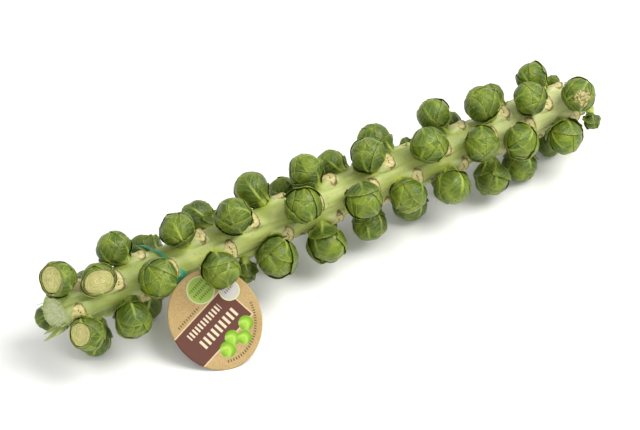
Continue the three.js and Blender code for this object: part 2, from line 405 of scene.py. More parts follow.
def stem_relief(x, turn):
    """Height over the plain shaft: the highest of the shelves, one under each neck, that rise to
    the leaf scar, step down beyond it and run out as a broad ridge towards the root; and a low
    hump at each neck. Also the values that colour it: nearness to a neck, distance from the
    nearest scar's middle (1 is its edge), and the place within that scar."""
    shelves = np.zeros_like(x)
    buds = np.zeros_like(x)
    cushion = np.zeros_like(x)
    scar = np.full_like(x, NO_SCAR)
    scar_along = np.zeros_like(x)
    scar_across = np.zeros_like(x)
    for sprout in sprouts:
        size = min(1.0, sprout.radius / FULL_SIZE_RADIUS)
        wrapped = (turn - sprout.turn + math.pi) % (2 * math.pi) - math.pi
        across = wrapped * plain_radius(x)
        along = x - sprout.base_x
        scar_shift, scar_rise = SCAR_SHIFTS.get(sprout.order, (0, 0))
        from_scar = along - SCAR_OFFSET * size - scar_shift
        across = across - scar_rise
        past_scar = np.maximum(from_scar - SCAR_LENGTH * size, 0)
        width = SHELF_WIDTH * size * (1 + RIDGE_SPREAD * past_scar)
        side = np.exp(-(np.abs(across) / width) ** 8)
        rise = eased((from_scar + SHELF_START) / SHELF_RISE)
        step = 1 - SHELF_STEP * eased(past_scar / STEP_LENGTH)
        tail = np.exp(-past_scar / RIDGE_LENGTH)
        shelves = np.maximum(shelves, SHELF_HEIGHT * size * side * rise * step * tail)
        buds += BUD_HEIGHT * size * np.exp(-((along / BUD_REACH) ** 2 + (across / BUD_REACH) ** 2) / 2)
        near_neck = ((along + 0.002) / 0.011) ** 2 + (across / 0.009) ** 2
        cushion = np.maximum(cushion, np.exp(-near_neck))
        uneven = 0.07 * np.sin(across * 900 + sprout.order * 2)
        blunt = 1 + 0.20 * np.tanh(from_scar / 0.003) + uneven
        edge = np.hypot(from_scar / (SCAR_LENGTH * size), across / (SCAR_WIDTH * size * blunt))
        nearer = edge < scar
        scar = np.where(nearer, edge, scar)
        scar_along = np.where(nearer, from_scar / size, scar_along)
        scar_across = np.where(nearer, across / size, scar_across)
    inside = 1 / (1 + np.exp(np.minimum((scar - 1) / 0.045, 60)))
    height = shelves + np.minimum(buds, BUD_LIMIT) - SCAR_DEPTH * inside
    height += SCAR_DEPTH * np.exp(-((scar - 1.02) / 0.09) ** 2)
    return height, cushion, scar, scar_along, scar_across


def unit(vectors):
    """Vectors of length 1 that point the same way."""
    return vectors / np.linalg.norm(vectors, axis=-1, keepdims=True)


def full_circle(steps):
    """Equal steps round a circle from 0, its end left out."""
    return np.linspace(0, 2 * np.pi, steps, endpoint=False)


def waves(points, wavelength, seed):
    """A smooth random height from -1 to 1: the mean of sine waves in random directions."""
    draw = np.random.default_rng(seed)
    directions = unit(draw.normal(size=(WAVE_COUNT, 3)))
    numbers = 2 * np.pi / (wavelength * draw.uniform(0.7, 1.5, WAVE_COUNT))
    phases = draw.uniform(0, 2 * np.pi, WAVE_COUNT)
    return np.sin(points @ (directions * numbers[:, None]).T + phases).mean(-1) * math.sqrt(2)


def grid_faces(rows, columns, wraps):
    """The quads between neighbouring rows and columns of a grid; wraps joins the last column
    to the first. Seen from outside, columns run to the right and rows run up."""
    span = columns if wraps else columns - 1
    row, column = np.meshgrid(np.arange(rows - 1), np.arange(span), indexing="ij")
    beside = (column + 1) % columns
    corners = [row * columns + column, row * columns + beside,
               (row + 1) * columns + beside, (row + 1) * columns + column]
    return np.stack(corners, -1).reshape(-1, 4)


def fan_faces(ring, centre, outward_up):
    """Triangles from a closed ring of point numbers to one centre point."""
    following = np.roll(ring, -1)
    middle = np.full_like(ring, centre)
    order = [ring, following, middle] if outward_up else [following, ring, middle]
    return np.stack(order, -1)


class Skin:
    """Surfaces gathered into one mesh, with a number per point for each named value."""

    def __init__(self, *values):
        self.points = []
        self.faces = []
        self.values = {name: [] for name in values}
        self.count = 0

    def add(self, points, faces, **values):
        """Adds points (n, 3) and lists of faces numbered from 0 within those points."""
        points = points.reshape(-1, 3)
        self.points.append(points)
        self.faces.extend(part + self.count for part in faces)
        for name, gathered in self.values.items():
            value = np.ravel(values.get(name, 0.0)).astype(float)
            gathered.append(np.broadcast_to(value, (len(points),)))
        self.count += len(points)

    def add_tube(self, rings, **values):
        """A closed body skinned over rings (rows, sides, 3) of points; its two ends are closed
        by their middle points. Rings turn counterclockwise about the way they follow each other."""
        rows, sides = rings.shape[:2]
        middles = np.stack([rings[0].mean(0), rings[-1].mean(0)])
        points = np.concatenate([rings.reshape(-1, 3), middles])
        last = rows * sides
        faces = [
            grid_faces(rows, sides, True),
            fan_faces(np.arange(sides), last, False),
            fan_faces(np.arange(sides) + last - sides, last + 1, True),
        ]
        spread = {}
        for name, value in values.items():
            value = np.broadcast_to(value, (rows, sides))
            spread[name] = np.concatenate([value.ravel(), [value[0].mean(), value[-1].mean()]])
        self.add(points, faces, **spread)

    def mesh(self, name):
        """The gathered surfaces as one Blender mesh with its values as attributes."""
        points = np.concatenate(self.points)
        corners = np.concatenate([part.ravel() for part in self.faces])
        sizes = np.concatenate([np.full(len(part), part.shape[1]) for part in self.faces])
        starts = np.concatenate([[0], np.cumsum(sizes)[:-1]])
        mesh = bpy.data.meshes.new(name)
        mesh.vertices.add(len(points))
        mesh.vertices.foreach_set("co", points.astype(np.float32).ravel())
        mesh.loops.add(len(corners))
        mesh.loops.foreach_set("vertex_index", corners.astype(np.int32))
        mesh.polygons.add(len(starts))
        mesh.polygons.foreach_set("loop_start", starts.astype(np.int32))
        mesh.polygons.foreach_set("use_smooth", np.ones(len(starts), bool))
        mesh.update(calc_edges=True)
        for key, gathered in self.values.items():
            attribute = mesh.attributes.new(key, "FLOAT", "POINT")
            attribute.data.foreach_set("value", np.concatenate(gathered).astype(np.float32))
        return mesh


def stem_skin():
    """The stem: rings of points at plain radius plus relief, from the root to the crown, whose
    edge is slanted and torn. Each end is closed by rings drawn in to its middle, with rough pits."""
    share, turn = np.meshgrid(np.linspace(0, 1, STEM_ROWS), full_circle(STEM_SIDES), indexing="ij")
    slant = CROWN_SLANT * STEM_RADIUS * np.cos(turn)
    rim = outward(turn) * TEAR_RADIUS
    tear = sum(height * waves(rim, length, seed) for height, length, seed in TEARS)
    x = ROOT_X + (CROWN_X + slant - ROOT_X) * share + tear * share ** 60
    relief, cushion, scar, scar_along, scar_across = stem_relief(x, turn)
    surface = on_axis(x) + outward(turn) * plain_radius(x)[..., None]
    shelf = relief / SHELF_HEIGHT
    relief += GROOVE_HEIGHT * (0.4 - np.abs(waves(surface * [0.45, 1, 1], GROOVE_SPACING, 3)))
    relief += GRAIN_HEIGHT * waves(surface * [0.25, 1, 1], GRAIN_SPACING, 4)
    rings = surface + outward(turn) * relief[..., None]

    inward = np.linspace(0, 1, CAP_ROWS + 1)[1:-1, None, None]
    caps = []
    for ring, roughness, seed in ((rings[-1], CROWN_PITS, 7), (rings[0], ROOT_PITS, 8)):
        middle = ring.mean(0)
        cap = ring + (middle - ring) * inward
        pits = roughness * (waves(cap, 0.004, seed) + 0.6 * waves(cap, 0.0017, seed + 20))
        cap[..., 0] += pits * np.sqrt(inward[..., 0])
        caps.append(cap)
    crown, root = caps[0], caps[1][::-1]
    whole = np.concatenate([root, rings, crown])

    def padded(values):
        """Values of the stem's sides with those of its two rims carried over its ends."""
        edge = (CAP_ROWS - 1, STEM_SIDES)
        first, last = np.broadcast_to(values[:1], edge), np.broadcast_to(values[-1:], edge)
        return np.concatenate([first, values, last])

    depth = np.linspace(1, 0, CAP_ROWS + 1)[1:-1]
    elsewhere = np.zeros(STEM_ROWS + CAP_ROWS - 1)
    rootward = np.concatenate([depth[::-1], elsewhere])
    crownward = np.concatenate([elsewhere, depth])
    columns = np.ones(STEM_SIDES)
    skin = Skin(
        "cushion", "shelf", "scar", "scar_along", "scar_across",
        "root_cut", "crown_cut", "core", "age")
    skin.add_tube(
        whole,
        cushion=padded(cushion),
        shelf=padded(shelf),
        scar=np.where((rootward + crownward)[:, None] > 0, NO_SCAR, padded(scar)),
        scar_along=padded(scar_along),
        scar_across=padded(scar_across),
        root_cut=np.outer(rootward > 0, columns),
        crown_cut=np.outer(crownward > 0, columns),
        core=np.outer(1 - rootward - crownward, columns),
        age=(whole[..., 0] - CROWN_X) / (ROOT_X - CROWN_X),
    )
    add_fibres(skin)
    return skin


FIBRES = 34
STRIP_WIDTH = 0.0030
STRIP_THICKNESS = 0.0004
STRIP_OVERLAP = 0.003
# strips of torn skin: the end they hang on (-1 crown, 1 root), degrees round the stem, length
TORN_STRIPS = [
    (-1, -125, 0.011), (-1, -104, 0.017), (-1, -88, 0.013), (-1, -70, 0.015), (-1, -52, 0.008),
    (-1, 68, 0.007), (1, 92, 0.011), (1, 112, 0.008), (1, 66, 0.005),
]


def add_fibres(skin):
    """Torn strings round the crown cut, which are thin tapered tubes that curl out of its rim,
    and the strips of torn skin, which are broad flat ones."""
    draw = np.random.default_rng(11)
    steps = np.linspace(0, 1, 7)
    around = full_circle(6)
    for _ in range(FIBRES):
        turn = draw.uniform(0, 2 * np.pi)
        depth = draw.uniform(0.55, 0.98)
        length = draw.uniform(0.0012, 0.0042) * (1.8 if draw.random() < 0.15 else 1)
        start_x = CROWN_X + CROWN_SLANT * STEM_RADIUS * math.cos(turn) * depth + 0.001
        start = on_axis(start_x) + outward(turn) * STEM_RADIUS * depth
        curl = draw.normal(size=3) * 0.35
        way = np.array([-1.0, 0, 0]) + outward(turn) * 0.35 * depth + curl * 0.4
        path = start + np.outer(steps * length, way) + np.outer(steps ** 2 * length, curl)
        side = unit(np.cross(way, [0, 0.3, 1.0]))
        other = np.cross(unit(way), side)
        thickness = draw.uniform(0.00022, 0.00045) * (1 - 0.8 * steps)
        ring = np.cos(around)[:, None] * side + np.sin(around)[:, None] * other
        rings = path[:, None] + ring[None] * thickness[:, None, None]
        skin.add_tube(rings, scar=NO_SCAR, crown_cut=1.0, core=0.3)
    for end, degrees, length in TORN_STRIPS:
        turn = math.radians(degrees)
        end_x = ROOT_X if end > 0 else CROWN_X + CROWN_SLANT * STEM_RADIUS * math.cos(turn)
        start = on_axis(end_x - end * STRIP_OVERLAP) + outward(turn) * STEM_RADIUS * 0.96
        way = np.array([end, 0, 0]) + outward(turn) * draw.uniform(0.2, 0.7)
        curl = draw.normal(size=3) * 0.15
        path = start + np.outer(steps * length, way) + np.outer(steps ** 2 * length, curl)
        ragged = 1 + 0.25 * np.sin(steps * 17 + turn)
        half_width = STRIP_WIDTH * (1 - 0.85 * steps ** 1.5) * ragged
        wide = unit(np.cross(way, outward(turn + math.pi / 2)))
        flat = np.cross(unit(way), wide)
        ring = np.cos(around)[:, None] * wide * half_width[:, None, None]
        rings = path[:, None] + ring + np.sin(around)[:, None] * flat * STRIP_THICKNESS
        skin.add_tube(rings, scar=NO_SCAR, crown_cut=0.4, core=0.2)


def length_of(first, second):
    """The length of a vector across a surface with two parts at right angles."""
    return (first * first + second * second) ** 0.5


def stem_finish():
    """Waxy yellow green, whiter on the shelves, yellow by the necks, and paler towards the root,
    partly as a drier stem and partly as painted light that lifts the shade the sprouts cast there. It
    has beige scars with a thin brown edge and dark pitted dots, and pale woody cut ends."""
    finish = Finish("stem_skin")
    streak = finish.noise(300, 3, (0.10, 1, 1))
    patch = finish.noise(32, 2)
    fine = finish.noise(1500, 2)
    cushion, shelf = finish.value("cushion"), finish.value("shelf")
    scar, age = finish.value("scar"), finish.value("age")
    along, across = finish.value("scar_along"), finish.value("scar_across")
    waxy = finish.coats(
        finish.mix(streak.between(0.25, 0.75), srgb(154, 165, 84), srgb(174, 182, 102)),
        (patch.between(0.40, 0.62) * 0.75, srgb(132, 147, 62)),
        (shelf.between(0.25, 0.55) * 0.6, srgb(190, 197, 138)),
        (cushion.between(0.25, 0.85) * patch.between(0.62, 0.42) * 0.9, srgb(176, 188, 40)),
        # paler towards the root: partly a drier stem, partly painted light lifting the shade that the
        # sprouts cast on the root end
        (age.between(0.70, 1.0) * 0.5, srgb(216, 218, 160)),
        (age.between(0.22, 0.0) * 0.40, srgb(138, 152, 84)))

    bundles = None
    for turn in np.radians([-62, -32, 0, 32, 62]):
        row = along - float(0.0030 * math.cos(turn) - 0.0008)
        column = across - float(0.0044 * math.sin(turn))
        distance = length_of(row, column)
        bundles = distance if bundles is None else bundles.least(distance)
    cork = finish.noise(380, 3).between(0.35, 0.7)
    scar_skin = finish.coats(
        finish.mix(cork, srgb(200, 194, 130), srgb(176, 160, 98)),
        (bundles.between(0.00085, 0.00045) * 0.9, srgb(74, 54, 34)))
    rim = scar + (finish.noise(430, 3) - 0.5) * 0.42
    line = rim.between(0.84, 0.98) * rim.between(1.14, 1.02)
    root_side = along.between(-0.004, 0.002) * 0.6 + 0.25

    strings = finish.noise(420, 3, (0.3, 1, 1)).between(0.35, 0.65)
    pith = finish.mix(strings, srgb(166, 174, 124), srgb(186, 192, 146))
    torn = finish.mix(finish.value("core").between(0.0, 0.35), srgb(146, 164, 78), pith)
    grain = finish.noise(600, 3).between(0.3, 0.7)
    dry = finish.mix(grain, srgb(170, 150, 104), srgb(206, 196, 150))
    skin = finish.coats(
        waxy,
        (rim.between(1.06, 0.98), scar_skin),
        (line * root_side, srgb(92, 66, 36)),
        (finish.noise(560, 2).between(0.66, 0.72) * 0.7, srgb(104, 108, 44)),
        (finish.value("crown_cut"), torn),
        (finish.value("root_cut"), dry))
    pits = bundles.between(0.0003, 0.0010) * 0.5
    sunken_rim = scar.between(1.10, 1.0) * scar.between(0.90, 1.0) * 0.5
    height = streak * 0.22 + fine * 0.25 + (pits - sunken_rim)
    return finish.paint(skin, 0.40 + streak * 0.16, height, 0.0004, specular=0.4)


def stand_for(node, mesh, finishes):
    """Makes a mesh the visible piece in place of a CAD node."""
    piece = bpy.data.objects.new(f"{node}_piece", mesh)
    bpy.context.scene.collection.objects.link(piece)
    for finish in finishes:
        mesh.materials.append(finish)
    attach(piece, "root")
    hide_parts(node)
    return piece


stand_for("stem", stem_skin().mesh("stem"), [stem_finish()])


# ---- Sprouts ----
# Each is a bud of cupped leaves wrapped over one another, on a short fleshy neck. The tight inner
# leaves close over the top and are bright; the outer ones reach part of the way up, stand a little
# off and are darker and waxier. A leaf is a thin closed shell with a pale rib and side veins.

LEAF_ROWS = 28
LEAF_COLUMNS = 23
COVER_ROWS = 46
COVER_COLUMNS = 90
CORE_ROWS = 28
CORE_COLUMNS = 40
NECK_DEPTH = 0.0020
NECK_RADIUS = 0.0043
FLAT_LAYERS = 0.0009
VEIN_SLANT = 0.42
# in head radii
CORE_REACH = 0.76
NECK_REACH = 1.22
NECK_GIRTH = 0.27
LEAF_GAP = 0.002
RIB_RELIEF = 0.034
BLADE_RELIEF = 0.010
CRUMPLE_WAVES = (0.62, 0.27)


class Cover:
    """How far the wrapped leaves reach from a head's centre so far, in head radii, on a grid of
    directions: climb from the neck (0) to the top (pi), and bearing round the head."""

    def __init__(self, height):
        climb = np.linspace(0, np.pi, COVER_ROWS)
        self.directions = ball_points(climb, full_circle(COVER_COLUMNS))
        self.height = height(self.directions)
        self.draped = self.height

    def drape(self):
        """The next leaf lies on the highest of each neighbourhood, rounded off."""
        self.draped = neighbours(neighbours(self.height).max(0)).mean(0)

    def at(self, directions):
        """The draped height in given directions, straight between the grid's points."""
        row = np.arccos(np.clip(-directions[..., 2], -1, 1)) / np.pi * (COVER_ROWS - 1)
        column = np.arctan2(directions[..., 1], directions[..., 0]) / (2 * np.pi) * COVER_COLUMNS
        column %= COVER_COLUMNS
        top = np.minimum(row.astype(int), COVER_ROWS - 2)
        left = column.astype(int) % COVER_COLUMNS
        right = (left + 1) % COVER_COLUMNS
        down, over = row - top, column - np.floor(column)
        first = self.draped[top, left] * (1 - over) + self.draped[top, right] * over
        second = self.draped[top + 1, left] * (1 - over) + self.draped[top + 1, right] * over
        return first * (1 - down) + second * down


def ball_points(climb, bearing):
    """Unit directions at every climb and bearing: (sin c cos b, sin c sin b, -cos c)."""
    climb, bearing = np.meshgrid(climb, bearing, indexing="ij")
    level = np.sin(climb)
    return np.stack([level * np.cos(bearing), level * np.sin(bearing), -np.cos(climb)], -1)


def neighbours(values):
    """The nine shifts of a cover grid: its rows stop at the poles, its columns go round."""
    padded = np.pad(values, ((1, 1), (0, 0)), "edge")
    padded = np.pad(padded, ((0, 0), (1, 1)), "wrap")
    rows, columns = values.shape
    return np.array([padded[i:i + rows, j:j + columns] for i in range(3) for j in range(3)])


class Leaf:
    """One leaf of a head, in head radii. Its rib climbs the ball, near a great circle, from foot
    to tip; a point is given by how far along the rib it is (0 to 1) and how far across (-1 to 1)."""

    def __init__(self, draw, bearing, foot, tip, width, thickness, bulge, flare, ruffle, crumple):
        self.out = np.array([math.cos(bearing), math.sin(bearing), 0.0])
        self.side = np.array([-math.sin(bearing), math.cos(bearing), 0.0])
        self.foot, self.tip = foot, tip
        self.width = width
        self.thickness = thickness
        self.bulge = bulge
        self.flare = flare
        self.ruffle = ruffle
        self.crumple = crumple
        self.bend = draw.uniform(-0.3, 0.3)
        self.widest = draw.uniform(0.5, 0.68)
        self.wave_count = draw.integers(4, 8)
        self.phases = draw.uniform(0, 2 * np.pi, 4)
        self.veins = draw.uniform(5.0, 7.0)
        self.seed = draw.integers(1, 100000)

    def half_width(self, along):
        """Half the leaf's width as an angle: a narrow foot, widest past the middle, a round tip,
        and an uneven outline."""
        low = 0.20 + 0.80 * np.sin(np.clip(along / self.widest, 0, 1) * np.pi / 2) ** 0.75
        past = np.clip((along - self.widest) / (1 - self.widest), 0, 1)
        high = np.sqrt(np.maximum(1 - past ** 2.2, 0)) * 0.92 + 0.08
        uneven = 0.035 * np.sin(11 * along + self.phases[2])
        uneven += 0.02 * np.sin(27 * along + self.phases[3])
        return self.width * np.where(along < self.widest, low, high) * (1 + uneven)

    def rib_angle(self, along):
        """How far the curved rib strays from its great circle."""
        return self.bend * np.clip(along - 0.2, 0, 1) ** 2

    def direction(self, along, across):
        """Unit directions from the head's centre: up the rib's climb, then aside by a sweep."""
        climb = self.foot + (self.tip - self.foot) * along
        sweep = across * self.half_width(along) + self.rib_angle(along)
        rib = np.sin(climb)[..., None] * self.out - np.cos(climb)[..., None] * [0, 0, 1]
        return np.cos(sweep)[..., None] * rib + np.sin(sweep)[..., None] * self.side

    def place_of(self, directions):
        """The way back: along and across for given directions."""
        sweep = np.arcsin(np.clip(directions @ self.side, -1, 1))
        climb = np.arctan2(directions @ self.out, -directions[..., 2])
        climb = np.where(climb < -0.2, climb + 2 * np.pi, climb)
        along = (climb - self.foot) / (self.tip - self.foot)
        return along, (sweep - self.rib_angle(along)) / self.half_width(along)

    def margin(self, along, across):
        """0 in the middle of the leaf, 1 at its edge."""
        return np.clip(np.maximum(np.abs(across), (along - 0.5) * 2), 0, 1)

    def lift(self, along, across, directions):
        """How far the leaf stands off what it wraps: its middle bulges, its edge flares and
        ruffles, and the whole blade is a little crumpled."""
        margin = self.margin(along, across)
        turn = np.arctan2(across, along - 0.45)
        ruffle = np.sin(self.wave_count * turn + self.phases[0]) * 0.6
        ruffle += np.sin((2 * self.wave_count + 1) * turn + self.phases[1]) * 0.4
        free = np.clip(along / 0.25, 0, 1)
        coarse, fine = CRUMPLE_WAVES
        crumpled = 1 + waves(directions, coarse, self.seed) * 0.6
        crumpled += waves(directions, fine, self.seed + 1) * 0.4
        return (LEAF_GAP + self.bulge * (1 - margin ** 2.5) * free + self.flare * margin ** 4 * free
                + self.ruffle * (1 + ruffle) * margin ** 5 * free
                + self.crumple * crumpled * free * (1 - 0.8 * margin ** 4))

    def veins_at(self, along, across):
        """Relief of the rib, broad at the foot, of the side veins that leave it at a slant, and
        of the blade puffed up between them."""
        sweep = np.abs(across) * self.half_width(along)
        rib = np.exp(-(sweep / (0.085 - 0.055 * along)) ** 2) * (1 - 0.75 * along)
        slant = (along - VEIN_SLANT * sweep) * self.veins
        between = np.abs(slant - np.round(slant)) * 2
        puffed = np.sqrt(between) * np.clip(sweep / 0.12, 0, 1)
        return RIB_RELIEF * rib + BLADE_RELIEF * puffed * (1 - 0.6 * self.margin(along, across))


def add_leaf(skin, cover, leaf, tone):
    """Wraps one leaf over the cover: its inner face lies on it, its outer face is a thickness
    further out with the veins' relief, and the two meet round a rim that thins towards the edge."""
    along = np.sin(np.linspace(0, np.pi / 2, LEAF_ROWS)) ** 1.15
    across = np.sin(np.linspace(-np.pi / 2, np.pi / 2, LEAF_COLUMNS))
    along, across = np.meshgrid(along, across, indexing="ij")
    directions = leaf.direction(along, across)
    inner = cover.at(directions) + leaf.lift(along, across, directions)
    margin = leaf.margin(along, across)
    outer = inner + leaf.thickness * (1 - 0.75 * margin ** 6) + leaf.veins_at(along, across)
    faces_out = directions * outer[..., None]
    faces_in = directions * inner[..., None]

    count = LEAF_ROWS * LEAF_COLUMNS
    numbers = np.arange(count).reshape(LEAF_ROWS, LEAF_COLUMNS)
    sides = [numbers[0, :-1], numbers[:-1, -1], numbers[-1, :0:-1], numbers[:0:-1, 0]]
    edge = np.concatenate(sides)
    following = np.roll(edge, -1)
    rim = np.stack([following, edge, edge + count, following + count], -1)
    outside = grid_faces(LEAF_ROWS, LEAF_COLUMNS, False)
    sweep = across * leaf.half_width(along)
    skin.add(
        np.concatenate([faces_out.reshape(-1, 3), faces_in.reshape(-1, 3)]),
        [outside, outside[:, ::-1] + count, rim],
        along=np.tile(along.ravel(), 2),
        sweep=np.tile(sweep.ravel(), 2),
        margin=np.tile(margin.ravel(), 2),
        tone=tone, vein_count=leaf.veins, leaf=1.0,
    )

    grid_along, grid_across = leaf.place_of(cover.directions)
    inside = (grid_along > 0) & (grid_along < 1) & (np.abs(grid_across) < 1)
    held_along, held_across = np.clip(grid_along, 0, 1), np.clip(grid_across, -1, 1)
    lift = leaf.lift(held_along, held_across, cover.directions)
    raised = cover.draped + lift + leaf.thickness
    cover.height = np.where(inside, raised, cover.height)
    cover.drape()


def add_neck(skin, sprout, axis, across, other):
    """The neck: a short stalk, wider where it leaves the stem and where it joins the head."""
    share = np.linspace(0, 1, 9)
    around = full_circle(20)
    foot = sprout.base - axis * NECK_DEPTH
    end = sprout.centre - axis * sprout.radius * 0.70
    middle = foot + np.outer(share, end - foot)
    narrow = min(NECK_RADIUS, sprout.radius * 0.42)
    width = narrow * (1 + 0.45 * (1 - share) ** 3 + 0.35 * share ** 3)
    ring = np.cos(around)[:, None] * across + np.sin(around)[:, None] * other
    ribbed = 1 + 0.05 * np.sin(around * 5 + sprout.order)
    rings = middle[:, None] + ring * (width[:, None] * ribbed)[..., None]
    skin.add_tube(rings, leaf=0.0, tone=0.2, along=share[:, None])


# how loosely the outer leaves stand, where a head is more open than the rest
LOOSE = {
    0: 0.16, 1: 0.16, 4: 0.05, 5: 0.05, 10: 0.04, 13: 0.09, 17: 0.05, 19: 0.15, 25: 0.05,
    28: 0.04, 31: 0.05, 32: 0.14, 33: 0.08, 36: 0.06, 39: 0.18, 40: 0.06, 45: 0.10, 50: 0.08,
}


def head_leaves(sprout, draw):
    """The leaves of a head from the inside out, each with its tone: 0 bright to 1 dark."""
    loose = LOOSE.get(sprout.order, 0.0)
    bearing = draw.uniform(0, 2 * np.pi)
    for _ in range(4):
        bearing += TURN_STEP + draw.uniform(-0.25, 0.25)
        yield Leaf(
            draw, bearing, foot=0.30, tip=draw.uniform(2.85, 3.5), width=draw.uniform(1.15, 1.45),
            thickness=0.015, bulge=draw.uniform(0.01, 0.03), flare=-0.002, ruffle=0.003,
            crumple=0.020), draw.uniform(0.0, 0.40)
    for step in range(4):
        bearing += TURN_STEP + draw.uniform(-0.25, 0.25)
        openness = loose * (step + 1) / 4
        yield Leaf(
            draw, bearing, foot=0.26, tip=draw.uniform(2.05, 2.95) - 0.12 * step,
            width=draw.uniform(1.0, 1.25), thickness=0.017, bulge=draw.uniform(0.005, 0.025),
            flare=draw.uniform(-0.010, 0.008) + openness,
            ruffle=draw.uniform(0.004, 0.016) + openness * 0.2,
            crumple=draw.uniform(0.016, 0.030)), 0.38 + 0.13 * step + draw.uniform(-0.16, 0.16)
    for step in range(2):
        bearing += TURN_STEP + draw.uniform(-0.5, 0.5)
        yield Leaf(
            draw, bearing, foot=0.24, tip=draw.uniform(0.9, 1.65), width=draw.uniform(0.6, 0.95),
            thickness=0.026, bulge=0.01, flare=draw.uniform(0.01, 0.09) + loose,
            ruffle=draw.uniform(0.015, 0.045), crumple=0.022), draw.uniform(0.75, 1.0)


def sprout_skin(sprout):
    """A whole sprout: a closed core, tight leaves over its top, looser leaves round its sides,
    made as a ball of about one radius and then set in its place on the stem."""
    draw = np.random.default_rng(400 + sprout.order)
    axis = unit(sprout.centre - sprout.base)
    across = unit(np.cross([1.0, 0, 0], axis))
    other = np.cross(axis, across)
    squat = draw.uniform(0.95, 1.06)

    def bare_height(directions):
        """The core's ball and, low down, the neck that stands in it: the larger, rounded off."""
        climb = np.arccos(np.clip(-directions[..., 2], -1, 1))
        ball = CORE_REACH * (1 + 0.03 * waves(directions, 1.1, 700 + sprout.order))
        neck = np.minimum(NECK_GIRTH / np.maximum(np.sin(climb), 1e-3), NECK_REACH) * (climb < 1.2)
        return (ball ** 8 + neck ** 8) ** (1 / 8)

    cover = Cover(bare_height)
    skin = Skin("along", "sweep", "margin", "tone", "vein_count", "leaf")
    climb = np.linspace(0, np.pi, CORE_ROWS)[1:-1]
    ball = ball_points(climb, full_circle(CORE_COLUMNS))
    core = ball * (cover.at(ball) * np.where(climb < 0.5, 0.85, 1.0)[:, None])[..., None]
    skin.add_tube(core, leaf=1.0, along=0.6, sweep=0.5, margin=0.4, vein_count=6.0)
    for leaf, tone in head_leaves(sprout, draw):
        add_leaf(skin, cover, leaf, tone)

    size = 1 / np.quantile(cover.height[COVER_ROWS // 3:], 0.85)
    turned = np.stack([across, other, axis])
    for index, points in enumerate(skin.points):
        shaped = points * size * [1, 1, squat]
        shaped = shaped * (1 + 0.03 * waves(points, 1.7, 900 + sprout.order))[:, None]
        placed = sprout.centre + sprout.radius * shaped @ turned
        # a carrying head is pressed flat where it lies, the inner leaves a hair above the outer
        pressed = FLAT_LAYERS * np.maximum(0, 1.1 - np.linalg.norm(shaped, axis=1))
        placed[:, 2] = np.maximum(placed[:, 2], pressed)
        skin.points[index] = placed
    add_neck(skin, sprout, axis, across, other)
    return skin


def leaf_finish():
    """Green leaf: deep between its veins, yellower towards its edge, pale along its rib, with a thin
    pale line along its margin that is a painted highlight, and greyer with wax on the outer leaves.
    Where it isn't leaf it is neck, or torn dry flesh."""
    finish = Finish("sprout_leaf")
    along, sweep = finish.value("along"), finish.value("sweep")
    tone, margin = finish.value("tone"), finish.value("margin")
    body = finish.value("leaf")
    mottle = finish.noise(330, 3)
    cloud = finish.noise(85, 2)
    fine = finish.noise(1900, 2)
    cells = finish.node("ShaderNodeTexVoronoi", {"feature": "DISTANCE_TO_EDGE"},
                        {"Vector": finish.place(), "Scale": 330})
    bright = finish.mix(cloud.between(0.38, 0.62), srgb(74, 98, 2), srgb(112, 130, 12))
    dark = finish.mix(cloud.between(0.38, 0.62), srgb(34, 52, 6), srgb(60, 76, 15))
    spread = sweep.size()
    deep = spread.between(0.75, 0.15) * spread.between(0.02, 0.12) * along.between(0.05, 0.35)

    wander = (finish.noise(240, 2) - 0.5) * 0.09
    rib = (spread + wander * 0.3).between(0.12, 0.02) * along.between(1.0, 0.3)
    slant = (along - spread * VEIN_SLANT + wander) * finish.value("vein_count")
    nearest = (slant - slant.math("ROUND", slant)).size()
    branch = nearest.between(0.12, 0.02) * spread.between(1.0, 0.1)
    net = cells.between(0.09, 0.0)
    veins = rib.most(branch * 0.35).most(net * 0.12)

    green = finish.coats(
        finish.mix(tone, bright, dark),
        (deep * mottle.between(0.1, 0.6) * 0.6, srgb(58, 84, 4)),
        (margin.between(0.55, 1.0) * 0.35, srgb(138, 152, 50)),
        (along.between(0.34, 0.02) * 0.75, srgb(160, 174, 84)),
        (veins * 0.9, srgb(168, 184, 80)),
        (cloud.between(0.42, 0.72) * tone.between(0.35, 1.0) * 0.3, srgb(92, 114, 58)),
        # painted highlight: a thin pale line where the leaf's edge catches the light
        (margin.between(0.93, 0.99) * mottle.between(0.3, 0.6) * 0.6, srgb(160, 172, 84)),
        (finish.noise(430, 1).between(0.74, 0.80) * 0.7, srgb(52, 48, 16)))
    neck = finish.mix(mottle, srgb(140, 158, 52), srgb(164, 178, 84))
    dry = finish.noise(420, 3).between(0.40, 0.62)
    torn = finish.mix(dry, srgb(178, 172, 112), srgb(104, 92, 46))
    colour = finish.coats(neck, (body, green), (body.between(-0.4, -0.6), torn))
    height = veins * 0.5 + fine * 0.12 + mottle * 0.25 + cells.between(0.0, 0.35) * 0.35
    return finish.paint(colour, 0.28 + mottle * 0.18, height, 0.0007, specular=0.34)


sprout_green = leaf_finish()


# ---- Sprouts that the knife went through ----
# Three heads of the crown end were sliced when the stalk was cut. Their flat faces show the pale
# folded leaves inside, packed in crinkled layers round a white core. A head at the root end was only
# grazed, and torn flesh has dried in its shallow cut.

# by the head's order: the plane's distance from its centre, and the parts of its facing along X,
# towards turn 0 and towards a quarter turn
KNIFE_CUTS = {
    2: (0.0133, (-0.18, 0.92, -0.35)),
    51: (0.001, (-0.29, 0.69, -0.65)),
    54: (0.009, (-0.80, 0.58, 0.1)),
    56: (0.007, (-0.86, 0.48, 0.2)),
}
SAME_POINT = 1e-7
CAP_STEP = 0.00001
GRAZED = 2
PATCH_RADIUS = 0.0080
PATCH_DEPTH = 0.0016
PATCH_SUNK = 0.8
PATCH_CLEARANCE = 0.00005


